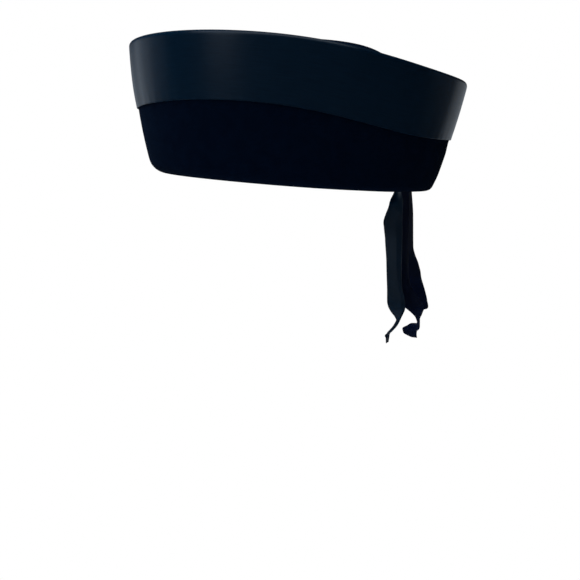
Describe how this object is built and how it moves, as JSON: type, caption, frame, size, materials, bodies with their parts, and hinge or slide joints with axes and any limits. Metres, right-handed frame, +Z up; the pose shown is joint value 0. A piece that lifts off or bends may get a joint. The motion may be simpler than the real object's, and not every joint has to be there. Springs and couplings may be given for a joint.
{
  "type": "breton hat",
  "caption": "Navy felt hat with a rounded crown, a deep brim turned up all round, a wide satin ribbon over the brim's edge and satin tails at the back.",
  "frame": {"origin": "centre of the head opening at the headline, where the hat sits on a head", "axes": "+Z up, -Y the way the wearer faces, +X the wearer's left"},
  "size_m": [0.2324, 0.2751, 0.2527],
  "materials": {
    "wool_felt": "matt blocked wool felt, nearly black navy",
    "satin_ribbon": "soft satin weave, dark navy"
  },
  "bodies": {
    "root": {"crown": "wool_felt", "brim": "wool_felt", "brim_band": "satin_ribbon", "left_tail": "satin_ribbon", "right_tail": "satin_ribbon"}
  },
  "joints": []
}
